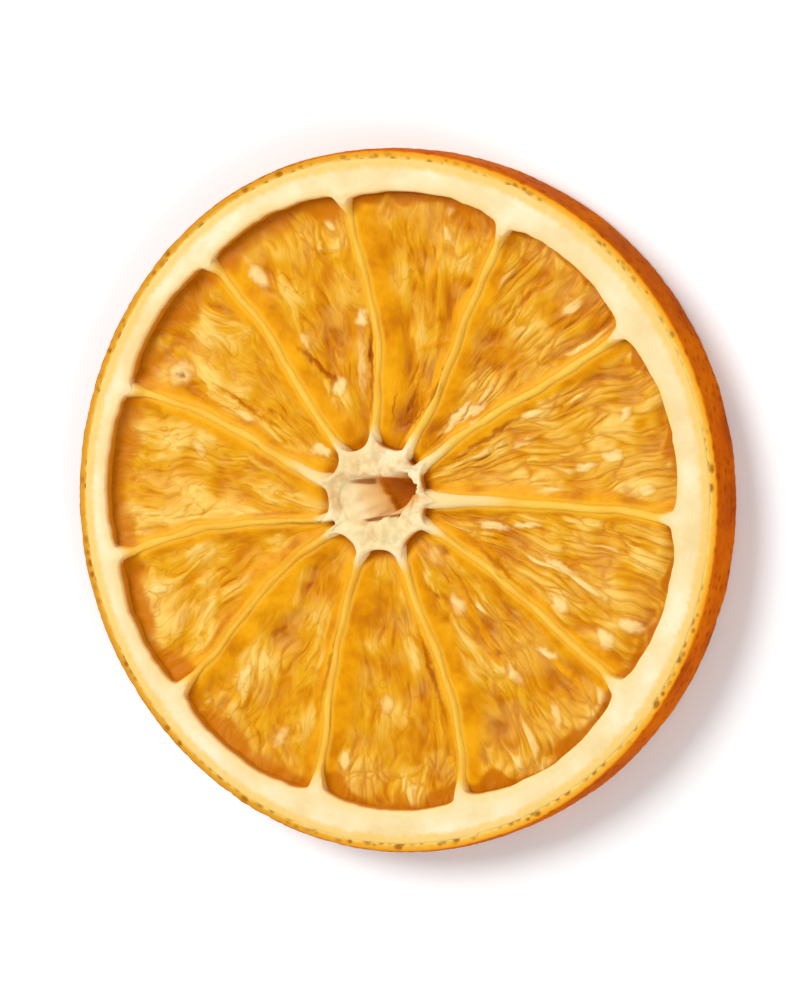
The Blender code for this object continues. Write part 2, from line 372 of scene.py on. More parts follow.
FLARE_AT_PITH = (0.3, 0.3, 0.35, 0.45, 0.3, 0.3, 0.3, 0.3, 0.4, 0.35, 0.5)
FLARE_AT_CORE = (0.5, 0.1, 0.06, 0.0, 0.0, 0.3, 0.0, 0.0, 0.0, 0.04, 0.06)
FLARE_LENGTH_AT_PITH = 0.85
FLARE_LENGTH_AT_CORE = (5.0, 3.5, 2.5, 2.0, 2.4, 3.6, 1.4, 1.4, 1.8, 2.2, 1.8)
FILLET_AT_CORE = 0.06
FILLET_LENGTH = 0.6
SEGMENT_REACH = (27.7, 27.7, 27.8, 28.2, 28.4, 28.6, 28.4, 28.4, 27.9, 27.6, 27.5)
SEGMENT_BULGE = 0.35
CORNER_DEPTHS = (1.0, 1.1, 1.1, 0.6, 0.45, 0.45, 0.7, 1.1, 1.4, 1.1, 1.2)
CORNER_SQUARENESS = 4.0
SKIN_HEIGHTS = (1.62, 1.6, 1.62, 1.54, 1.56, 1.58, 1.54, 1.52, 1.54, 1.6, 1.56)
SKIN_FADING = (0.0, 0.1, 0.15, 0.4, 0.25, 0.05, 0.45, 0.7, 0.35, 0.1, 0.2)
SKIN_HEIGHT_AT_PITH = 2.33
SKIN_HEIGHT_AT_CORE = 1.75
WHITE_LENGTHS = (9.0, 4.5, 2.4, 1.8, 1.8, 5.0, 1.8, 1.8, 2.0, 2.4, 2.8)
WEB_HEIGHT = 0.15
PITH_UNDER_PEEL = 0.45
CORE_KNOBS = ((0.3, 1.5, 81), (0.24, 0.7, 82), (0.08, 0.3, 83))
MOUTH = ((-1.8, 0.2), (4.4, 4.2, 2.45, 2.15, 2.4, 3.3, 3.7, 3.4, 2.45, 2.15, 2.0, 2.9))
HOLE_EDGE = ((0.2, 0.9), (1.6, 2.3, 1.3, 1.1, 1.3, 2.4, 1.75, 1.3, 1.55, 2.25, 1.55, 1.25))
HOLE_EDGE_HEIGHT = 0.1
LIP_HEIGHT = 1.6
LOW_LIP_DROP = 0.35
OUTLET = ((1.3, 0.6), (0.3,) * 12)
OUTLET_HEIGHT = -1.7
SEGMENTS = len(SKIN_BOW)
SHOWN_FACE = 1
UNDERSIDE = -1


def face_radius(out):
    return CORE_RADIUS + (PULP_RADIUS - CORE_RADIUS) * out


def skin_angle(number, out):
    """The angle of a skin's middle line, where out is 0 at the core and 1 at the pith."""
    turns, index = divmod(number, SEGMENTS)
    steady = math.radians(SKIN_AT_CORE_DEG[index]) * (1 - out) + math.radians(SKIN_AT_PITH_DEG[index]) * out
    bend = SKIN_BOW[index] * np.sin(math.pi * out) + SKIN_TWIST[index] * np.sin(2.0 * math.pi * out)
    along = face_radius(out)
    row = 0.0 * along + index
    wobble = 0.22 * ripple(along / 4.2, row, 41) + 0.05 * ripple(along / 1.5, row, 42)
    bend = bend + wobble * smooth_step(0.0, 0.1, out) * smooth_step(1.0, 0.93, out)
    return steady + bend / along + 2.0 * math.pi * turns


def skin_half_widths(segment, number, out):
    """How far the shoulder and the foot of skin `number` are from its middle line, inside a segment."""
    index = number % SEGMENTS
    from_core, from_pith = face_radius(out) - CORE_RADIUS, PULP_RADIUS - face_radius(out)
    past_core = np.maximum(from_core, 0.0)
    widening = FLARE_AT_PITH[index] * np.exp(-np.maximum(from_pith, 0.0) / FLARE_LENGTH_AT_PITH)
    widening = widening + FLARE_AT_CORE[index] * np.exp(-past_core / FLARE_LENGTH_AT_CORE[index])
    widening = widening + FILLET_AT_CORE * np.exp(-past_core / FILLET_LENGTH)
    row = 0.0 * from_core + index
    thinning = 0.09 * ripple(from_core / 2.6, row, 43)
    sloping = 1.0 + 0.5 * ripple(from_core / 3.1, row + 0.5 * (number - segment), 46)
    shoulder = SKIN_HALF_WIDTH + thinning + widening
    room = (skin_angle(segment + 1, out) - skin_angle(segment, out)) * face_radius(out)
    return np.minimum(shoulder, 0.3 * room), np.minimum(shoulder + SKIN_SLOPE_WIDTH * sloping, 0.4 * room)


def rounding(across, squareness):
    """0 in the middle of a segment's end and 1 at its skins, as on the end of a round-cornered bar."""
    off_middle = np.clip(np.abs(2.0 * across - 1.0) / 0.95, 0.0, 1.0)
    return 1.0 - (1.0 - off_middle**squareness) ** (1.0 / squareness)


def pulp_end(segment, across):
    """How far out a segment's pulp reaches. Across runs from 0 at its first skin to 1 at its next."""
    along_end = 0.0 * across + segment
    ragged = 0.12 * ripple(across * 7.0, along_end, 44) + 0.07 * ripple(across * 17.0, along_end, 45)
    swelling = np.sin(math.pi * np.clip(across, 0.0, 1.0))
    corner_depth = np.array(CORNER_DEPTHS)[(segment + (across > 0.5)) % SEGMENTS]
    far = np.array(SEGMENT_REACH)[segment] + SEGMENT_BULGE * swelling + ragged * smooth_step(0.0, 0.3, swelling)
    return far - corner_depth * rounding(across, CORNER_SQUARENESS)


def pulp_start(segment, across):
    """How far out a segment's pulp starts. Its inner end is round, so it starts further out at the skins."""
    return INNER_END_RADIUS + np.array(INNER_END_DEPTHS)[segment] * rounding(across, INNER_END_SQUARENESS)


# The columns of the net beside a skin: their share of the way from its middle line to its shoulder, and of the way
# on from there to its foot, with the share of its height that it has there. Between two feet lies the thin web.
NEAR_SKIN = ((0.0, 0.0), (0.5, 0.0), (1.0, 0.0), (1.0, 0.3), (1.0, 0.65), (1.0, 1.0))
SKIN_PROFILE = (1.0, 0.985, 0.9, 0.6, 0.2, 0.0)
WEB_COLUMNS = 26


def wheel_angles(out):
    """The angle of every column round the slice, and how far across its segment that column is."""
    angles, across = [], []
    for segment in range(SEGMENTS):
        start, end = skin_angle(segment, out), skin_angle(segment + 1, out)
        first, last = (
            [(shoulder * a + (foot - shoulder) * b) / face_radius(out) for a, b in NEAR_SKIN]
            for shoulder, foot in (skin_half_widths(segment, number, out) for number in (segment, segment + 1))
        )
        even = np.linspace(0.0, 1.0, WEB_COLUMNS + 2)[1:-1]
        closer_by_skins = even - 0.07 * np.sin(2.0 * math.pi * even)
        web = start + first[-1] + (end - last[-1] - start - first[-1]) * closer_by_skins
        here = np.concatenate([start + np.array(first), web, end - np.array(last[:0:-1])])
        angles.append(here)
        across.append((here - start) / (end - start))
    return np.concatenate(angles), np.concatenate(across)


standing = np.tile(SKIN_PROFILE + (0.0,) * WEB_COLUMNS + SKIN_PROFILE[:0:-1], SEGMENTS)
column_segment = np.repeat(np.arange(SEGMENTS), len(standing) // SEGMENTS)
angles_at_pith, across_at_pith = wheel_angles(1.0)
angles_at_core, across_at_core = wheel_angles(0.0)
reach = pulp_end(column_segment, across_at_pith)
core_reach = pulp_start(column_segment, across_at_core)
crest = across_at_pith == 0.0
reach[crest] = 0.5 * (np.array(SEGMENT_REACH) + np.roll(SEGMENT_REACH, 1)) - np.array(CORNER_DEPTHS)
core_reach[crest] = INNER_END_RADIUS + 0.5 * (np.array(INNER_END_DEPTHS) + np.roll(INNER_END_DEPTHS, 1))
column_skin = (column_segment + (across_at_pith > 0.5)) % SEGMENTS


def face_ring(out, face):
    """A ring between the core and the pith: skins standing up from a thin web that the pulp covers."""
    angles = wheel_angles(out)[0]
    middle = np.array(SKIN_HEIGHTS)[column_skin]
    top = middle + smooth_step(0.92, 1.0, out) * (SKIN_HEIGHT_AT_PITH - middle)
    top = top + smooth_step(0.3, 0.0, out) * (SKIN_HEIGHT_AT_CORE - middle)
    radius = core_reach + (reach - core_reach) * out
    uneven = 0.07 * ripple(radius / 2.4, column_skin * 3.7 + 0.0 * radius, 51)
    top = top + uneven * math.sin(math.pi * out) ** 0.3
    x = CORE_CENTRE[0] * (1 - out) + radius * np.cos(angles)
    y = CORE_CENTRE[1] * (1 - out) + radius * np.sin(angles)
    return x, y, face * (WEB_HEIGHT + (top - WEB_HEIGHT) * standing)


def pith_ring(along, height, face):
    """A ring of the pith, from the segments' ends at 0 to inside the peel at 1."""
    radius = reach + (outline(angles_at_pith) - PEEL_WIDTH + PITH_UNDER_PEEL - reach) * along
    x, y = radius * np.cos(angles_at_pith), radius * np.sin(angles_at_pith)
    soft = smooth_step(0.05, 0.25, along) * smooth_step(1.0, 0.9, along)
    height = height + (max(height, SKIN_HEIGHT_AT_PITH) - height) * standing
    height = height + soft * (0.07 * ripple(x / 2.3, y / 2.3, 61) + 0.035 * ripple(x / 0.8, y / 0.8, 62))
    return x, y, face * height


def torn_loop(shape, angles):
    """A loop with a torn edge, from its centre and its radii at even turns, anticlockwise from the right."""
    centre, radii = shape
    turns = angles % (2.0 * math.pi) / (2.0 * math.pi) * len(radii)
    before = np.floor(turns).astype(int) % len(radii)
    radius, radius_after = np.array(radii)[before], np.roll(radii, -1)[before]
    radius = radius + (radius_after - radius) * smooth_step(0.0, 1.0, turns - np.floor(turns))
    teeth = 0.035 * ripple(angles * 5.0, 0.0 * angles, 71) + 0.035 * ripple(angles * 12.0, 0.0 * angles, 72)
    radius = radius * (1.0 + teeth * (1.0 + np.cos(angles)))
    return centre[0] + radius * np.cos(angles), centre[1] + radius * np.sin(angles)


def between(first, second, share):
    """A point or loop of points that lies the share of the way from the first to the second."""
    return tuple(a + (b - a) * share for a, b in zip(first, second))


def core_ring(inwards, height, face):
    """A ring of the core, from the segments' inner ends at 0 to the lip of the hollow at 1."""
    lip = torn_loop(MOUTH if face == SHOWN_FACE else OUTLET, angles_at_core)
    outer = [middle + core_reach * part(angles_at_core) for middle, part in zip(CORE_CENTRE, (np.cos, np.sin))]
    x, y = between(outer, lip, inwards)
    knobs = sum(size * ripple(x / length, y / length, seed) for size, length, seed in CORE_KNOBS)
    left = smooth_step(-2.0, -6.0, x) * smooth_step(0.0, 1.1, inwards) * (face == SHOWN_FACE)
    height = height + (max(height, SKIN_HEIGHT_AT_CORE) - height) * standing * smooth_step(0.9, 0.2, inwards)
    height = height + knobs * smooth_step(0.0, 0.3, inwards) * (1.0 - 0.7 * left) - LOW_LIP_DROP * left
    return x, y, face * height


def hollow_ring(down):
    """A ring on the hollow core's wall: 0 at its mouth, 1 at the edge of the hole, 2 at the underside."""
    mouth, edge, outlet = (torn_loop(shape, angles_at_core) for shape in (MOUTH, HOLE_EDGE, OUTLET))
    x, y = between(mouth, edge, down) if down <= 1 else between(edge, outlet, down - 1)
    lip_height = core_ring(1.0, LIP_HEIGHT, SHOWN_FACE)[2]
    if down <= 1:
        steepness = 1.3 - 0.85 * np.abs(np.sin(angles_at_core)) ** 1.5
        z = lip_height + (HOLE_EDGE_HEIGHT - lip_height) * down**steepness
    else:
        z = HOLE_EDGE_HEIGHT + (OUTLET_HEIGHT - HOLE_EDGE_HEIGHT) * (down - 1) ** 0.45 + 0.0 * x
    folds = 0.22 * ripple(y / 1.2 + 3.0, x / 3.6, 91) + 0.1 * ripple(y / 0.6, x / 1.0, 92)
    return x, y, z + folds * math.sin(math.pi * min(down, 1.0))


# A ring's kind says what it belongs to. In the hollow it is instead how far down the ring lies, as a negative number.
IN_CORE, IN_SKINS, IN_PITH = 0.0, 1.0, 2.0
CORE_RING_SPACING = 0.085
PITH_RING_SPACING = 0.055
core_corners = [
    (0.0, 0.6), (0.0, 1.6), (0.04, 1.78), (0.15, 1.88), (0.4, 1.96), (0.75, 1.9), (0.92, 1.78), (1.0, LIP_HEIGHT)
]
pith_corners = [
    (0.0, 0.9), (0.01, 1.85), (0.025, 2.15), (0.05, 2.3), (0.1, 2.37), (0.2, 2.4), (0.5, 2.4), (0.8, 2.4),
    (0.9, 2.4), (0.95, 2.37), (1.0, 1.9)
]
core_profile = evenly_along(core_corners, CORE_RING_SPACING)
pith_profile = evenly_along(pith_corners, PITH_RING_SPACING)
out_steps = np.unique(np.concatenate([np.linspace(0.0, 1.0, 49), np.linspace(0.88, 1.0, 13)]))
hollow_steps = np.concatenate([np.linspace(0.06, 1.0, 15), np.linspace(1.06, 1.95, 9)])
rings, kinds = [], []
for face, ring_step in ((SHOWN_FACE, 1), (UNDERSIDE, 2)):
    core = [core_ring(i, h, face) for i, h in core_profile[::-ring_step]]
    skins = [face_ring(out, face) for out in np.append(out_steps[:-1][::ring_step], 1.0)]
    banks = [pith_ring(a, h, face) for a, h in pith_profile[1::ring_step]]
    order = core + skins + banks
    order_kinds = [IN_CORE] * len(core) + [IN_SKINS] * len(skins) + [IN_PITH] * len(banks)
    rings += order if face == SHOWN_FACE else order[::-1]
    kinds += order_kinds if face == SHOWN_FACE else order_kinds[::-1]
rings += [hollow_ring(down) for down in hollow_steps[::-1]]
kinds += [-down for down in hollow_steps[::-1]]

x, y, z = (np.array([ring[k] for ring in rings]) for k in (0, 1, 2))
kinds = np.array(kinds)[:, None] + 0.0 * x
from_core = np.hypot(x - CORE_CENTRE[0], y - CORE_CENTRE[1])
from_pith = reach - np.hypot(x, y)
yellowing = smooth_step(0.3, 1.0, (from_core - CORE_RADIUS) / np.array(WHITE_LENGTHS)[column_skin])
fading = np.array(SKIN_FADING)[column_skin] + 0.5 * ripple(from_core / 3.0, column_skin * 3.7 + 0.0 * x, 52)
fading = np.clip(fading, 0.0, 1.0) * yellowing * smooth_step(0.0, 2.5, from_pith) * (kinds == IN_SKINS)
down = np.clip(-kinds, 0.0, 2.0)
slow = 1.0 + 1.5 * smooth_step(-2.0, -6.0, torn_loop(MOUTH, angles_at_core)[0])
streaks = 0.3 * ripple(y / 0.8, x / 2.5, 93) * down * np.maximum(1.0 - down, 0.0)
tone = np.where(down < 1.0, down**slow, down) + streaks
# Painted shadow: dark bands on the hollow's wall just under its top lip and its low lip.
top_lip_shadow, low_lip_shadow = (-5.6, 1.7, 1.9 + 0.15 * x), (-6.2, -1.7 + 0.16 * (x + 2.0), 1.0)
lip_shadows = (
    smooth_step(0.3, 0.05, np.abs(y - at_y) / growth) * smooth_step(0.0, 2.5, x - start)
    for start, at_y, growth in (top_lip_shadow, low_lip_shadow)
)
lip_shadow = np.maximum(*lip_shadows) * smooth_step(0.02, 0.1, down) * smooth_step(1.0, 0.8, down)
by_pulp = (kinds > IN_CORE) * smooth_step(0.5, 0.2, np.abs(from_pith))
by_pulp = by_pulp + (kinds == IN_CORE) * smooth_step(0.3, 0.1, core_reach - from_core)
wall = by_pulp * smooth_step(2.2, 1.7, np.abs(z) + 0.5 * (kinds == IN_CORE)) * (1.0 - standing)
wall = np.maximum(wall, 0.6 * (kinds == IN_SKINS) * smooth_step(0.95, 0.7, standing) * yellowing)
wheel_points = laid_down(x, y, z)
pith = made_piece(
    "pith",
    wheel_points.reshape(-1, 3),
    ring_faces(*wheel_points.shape[:2]),
    {
        "skin": (yellowing * smooth_step(-0.3, 1.0, from_pith)).ravel(),
        "fading": fading.ravel(),
        "near_pulp": (smooth_step(-1.3, 0.0, from_pith) * (kinds > IN_CORE)).ravel(),
        "core": smooth_step(6.0, 4.6, from_core).ravel(),
        "near_peel": smooth_step(2.3, PEEL_WIDTH, outline(np.arctan2(y, x)) - np.hypot(x, y)).ravel(),
        "hollow": np.clip(tone, 0.0, 2.0).ravel(),
        "lip_shadow": lip_shadow.ravel(),
        "wall": wall.ravel(),
    },
)

white, tree, shader = new_material("dried_pith", 0.6, 0.25)
place = tree.nodes.new("ShaderNodeTexCoord").outputs["Object"]
clouds = speckle(tree, place, 180.0, 3.0)
fibres = speckle(tree, place, 1400.0, 4.0, 0.6)
spongy = colour_ramp(tree, clouds, (0.34, 232, 206, 148), (0.5, 238, 216, 166), (0.64, 243, 226, 188))
ragged = arithmetic(tree, "MULTIPLY", arithmetic(tree, "SUBTRACT", fibres, 0.5), 1.2)
near_peel = arithmetic(tree, "ADD", mark(tree, "near_peel"), ragged)
by_peel = blend_colours(tree, spread(tree, near_peel, 0.1, 1.0, 0.0, 0.85), spongy, linear(238, 194, 98))
warmed = tinted(tree, by_peel, "near_pulp", 0.0, 1.0, 0.5, (238, 200, 120))
skinned = blend_colours(tree, mark(tree, "skin"), warmed, linear(240, 188, 66))
skinned = blend_colours(tree, mark(tree, "fading"), skinned, linear(230, 160, 24))
mottle = spread(tree, speckle(tree, place, 620.0, 2.0), 0.46, 0.66, 0.0, 0.7)
mottled_core = arithmetic(tree, "MULTIPLY", mottle, mark(tree, "core"))
cored = blend_colours(tree, mottled_core, skinned, linear(226, 184, 126))
hollow = colour_ramp(
    tree, arithmetic(tree, "MULTIPLY", mark(tree, "hollow"), 0.5),
    (0.0, 242, 222, 176), (0.1, 232, 194, 132), (0.46, 220, 160, 84), (0.52, 214, 128, 6), (0.8, 204, 116, 4)
)
hollowed = blend_colours(tree, spread(tree, mark(tree, "hollow"), 0.0, 0.1), cored, hollow)
# Painted shadow under the hollow's lips.
lip_shadowed = tinted(tree, hollowed, "lip_shadow", 0.1, 0.9, 0.9, (162, 88, 14))
walled = blend_colours(tree, mark(tree, "wall"), lip_shadowed, linear(208, 130, 14))
tree.links.new(walled, shader.inputs["Base Color"])
tree.links.new(spread(tree, fibres, 0.3, 0.7, 0.5, 0.72), shader.inputs["Roughness"])
relief(tree, shader, fibres, 0.0001)
let_light_in(shader, 0.25, (1.0, 0.7, 0.35), 0.0006)
pith.data.materials.append(white)
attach(pith, "root")
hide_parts("orange_slice")


# Pulp
# The pulp fills each segment with juice sacs, long drops that point at the core. Drying sank them below the skins:
# many still show, a few of them plump and pale with painted glints, and the rest collapsed to a glassy amber film.
# Its colour also carries painted light and shade: lighter on its rises, darker in its wrinkles, creases and pockets
# and along the pith and the core. Each segment's pulp is its own piece, and clings to the skins, the core and the
# pith.
PULP_HEIGHT = 1.2
PULP_BESIDE_SKIN = 1.38
PULP_SAG = 0.2
TUCK_UNDER_SKIN = 0.35
HEM_WIDTH = 0.8
DIP_BY_CORE = 0.35
PATCH_HEIGHT = 0.2
FOLD_HEIGHT = 0.16
WRINKLE_DEPTH = 0.1
PIMPLE_HEIGHT = 0.05
ACROSS_STEPS = 150
ALONG_STEPS = 150
BANK_WIDTHS = (
    (1.6, 1.9), (1.0, 2.0), (1.2, 3.2), (0.5, 2.8), (1.4, 1.6), (2.0, 0.8),
    (1.6, 2.0), (2.6, 1.4), (3.0, 1.0), (2.6, 1.4), (1.6, 0.9),
)
POCKET_WIDTHS = (0.8, 0.8, 1.4, 3.2, 4.0, 3.8, 3.4, 2.8, 1.8, 1.4, 1.0)
POCKET_DEPTHS = (0.15, 0.15, 0.2, 0.15, 0.15, 0.12, 0.15, 0.15, 0.15, 0.15, 0.15)
SACS_SHOWING = (1.0, 0.7, 0.25, 0.35, 0.3, 0.1, 0.1, 0.15, 0.3, 0.65, 1.0)
SACS_BY_PITH = (0.1, 0.2, 0.4, 0.2, 0.3, 0.1, 0.4, 0.6, 0.8, 0.5, 0.1)
SAC_WIDTHS = (0.8, 0.8, 0.9, 1.0, 1.0, 1.2, 1.2, 1.2, 1.1, 0.9, 0.8)
SAC_LENGTHS = (4.4, 4.2, 3.6, 2.8, 2.6, 2.6, 2.6, 2.2, 2.4, 3.6, 4.4)
SAC_HEIGHT = 0.15
PLUMP_HEIGHT = 0.22
SUNKEN_DEPTH = 0.28
STRAND_HEIGHT = 0.25
# Painted shade: a thin dark line in the pulp where it meets the pith and the core; its width, and its strength in
# each segment.
EDGE_SHADOW_WIDTH = 0.28
EDGE_SHADOW_LINES = (0.9, 0.9, 0.9, 0.6, 0.2, 0.05, 0.05, 0.1, 0.4, 0.7, 0.8)
PALENESS = (0.5, 0.35, 0.3, 0.4, 0.6, 0.8, 0.7, 0.55, 0.4, 0.35, 0.45)
# Plump sacs, raised and painted pale with glints: (x, y, length, width, direction in degrees, strength).
PLUMP_GLINTING_SACS = (
    (-13.3, 20.4, 2.8, 1.4, -50, 0.9), (-2.9, 16.6, 1.9, 1.7, 80, 0.8), (-3.0, 12.4, 8.0, 1.0, 91, 0.45),
    (-5.3, 10.4, 1.9, 1.5, 60, 1.0), (-7.2, 4.5, 2.4, 1.2, -10, 0.9), (-21.5, 11.5, 3.0, 2.6, 20, 0.6),
    (5.6, 6.9, 3.2, 0.8, 38, 0.7), (6.6, 8.1, 3.4, 0.8, 40, 0.9), (8.0, 8.2, 3.6, 0.8, 33, 0.8),
    (9.0, 9.6, 3.0, 0.7, 40, 0.6), (7.8, 7.0, 2.8, 0.6, 32, 0.6), (20.5, -12.0, 2.2, 1.4, -60, 1.0),
    (22.9, -10.8, 2.6, 1.3, -20, 1.0), (18.6, 3.4, 2.6, 1.0, 12, 0.7), (21.2, 4.4, 2.2, 1.0, 10, 0.8),
    (15.0, 1.2, 2.8, 0.9, 4, 0.5), (9.6, -2.1, 3.2, 0.9, -8, 0.9), (12.9, -2.0, 3.2, 0.8, 4, 0.8),
    (16.2, -5.6, 4.4, 0.9, -28, 0.7), (16.2, -9.0, 1.8, 1.2, -45, 0.7), (14.8, -13.5, 2.4, 1.0, -20, 0.8),
    (3.9, -4.9, 2.6, 2.0, -50, 0.4), (6.0, -9.2, 2.6, 1.5, -60, 0.6), (-1.2, -18.6, 2.2, 1.6, 90, 0.5),
    (11.5, -15.5, 3.0, 1.0, -50, 0.6), (24.6, 1.4, 1.8, 1.0, 5, 0.8), (12.6, 5.4, 2.8, 0.9, 22, 0.5),
    (-8.6, 14.5, 2.0, 1.0, -60, 0.5), (-14.8, 7.6, 2.8, 1.0, -25, 0.5), (-15.5, -16.5, 3.6, 1.0, 60, 0.5),
    (-12.0, -22.0, 3.0, 1.1, 50, 0.5), (15.5, -19.0, 3.4, 0.9, -75, 0.6), (22.6, 8.2, 1.6, 0.9, 60, 0.8),
    (-19.8, 4.6, 2.0, 1.2, -50, 0.5), (-24.0, -8.6, 2.2, 1.0, 10, 0.5),
)
SUNKEN_SPOTS = (
    (0.9, 8.2, 4.2, 2.8, 75, 0.5), (0.2, 8.6, 3.6, 0.4, 80, 0.9), (1.6, 8.6, 3.0, 0.4, 62, 0.8),
    (3.8, 6.6, 4.0, 1.4, 45, 0.6), (1.2, 7.0, 1.8, 0.5, 20, 0.7), (2.6, 7.8, 2.6, 0.4, 50, 0.9),
    (-21.6, 11.3, 0.8, 0.7, 0, 0.8), (-2.0, 12.0, 11.0, 0.6, 90, 1.0), (5.0, -4.3, 1.8, 1.4, 0, 0.6),
    (5.0, 11.2, 11.0, 0.6, 62, 0.9), (4.8, -10.6, 1.8, 1.2, 40, 0.5), (-7.6, 12.4, 7.0, 0.6, -42, 0.8),
    (-22.0, 14.4, 6.0, 1.4, 50, 0.5), (10.2, -5.6, 9.0, 0.6, -42, 0.7), (-6.8, -15.4, 12.0, 0.6, 74, 0.7),
    (-15.0, 8.6, 8.0, 0.5, -32, 0.6), (-20.2, -1.6, 7.0, 0.4, 12, 0.4), (14.5, 10.2, 9.0, 0.7, 30, 0.6),
    (9.2, 5.8, 10.0, 0.6, 33, 0.8), (3.2, -15.0, 12.0, 0.6, -73, 0.7), (12.4, 17.6, 8.0, 0.6, 48, 0.5),
)
STRANDS = (
    (-0.2, 12.2, 12.0, 1.8, 90, 0.9), (4.6, 14.4, 5.0, 0.6, 15, 0.7), (8.0, -11.0, 9.0, 0.9, -60, 0.7),
    (-10.0, 12.0, 6.0, 0.8, -45, 0.7), (-5.2, -15.0, 9.0, 0.9, 78, 0.7), (17.0, 16.4, 6.0, 0.8, 40, 0.7),
    (16.5, -15.0, 7.0, 0.8, -40, 0.7), (-12.5, -9.0, 7.0, 1.3, 38, 0.8), (4.5, 21.0, 6.0, 0.8, 70, 0.7),
)


def drops(x, y, table, seed):
    """Smooth drops on the face, from (x, y, length, width, direction in degrees, strength)."""
    total = 0.0 * x
    warp_x, warp_y = (
        0.2 * ripple(x / 0.9, y / 0.9, seed + k) + 0.12 * ripple(x / 0.4, y / 0.4, seed + 2 + k) for k in (0, 1)
    )
    for centre_x, centre_y, length, width, direction, strength in table:
        turn = math.radians(direction)
        dx, dy = x + warp_x - centre_x, y + warp_y - centre_y
        along, over = dx * math.cos(turn) + dy * math.sin(turn), dy * math.cos(turn) - dx * math.sin(turn)
        total = np.maximum(total, strength * smooth_step(1.4, 0.1, np.hypot(along / length, over / width) * 2.0))
    return total


def creases(x, y, width, seed):
    """Wandering lines about one unit apart, 1 in their middle."""
    return np.exp(-((ripple(x, y, seed) / width) ** 2))


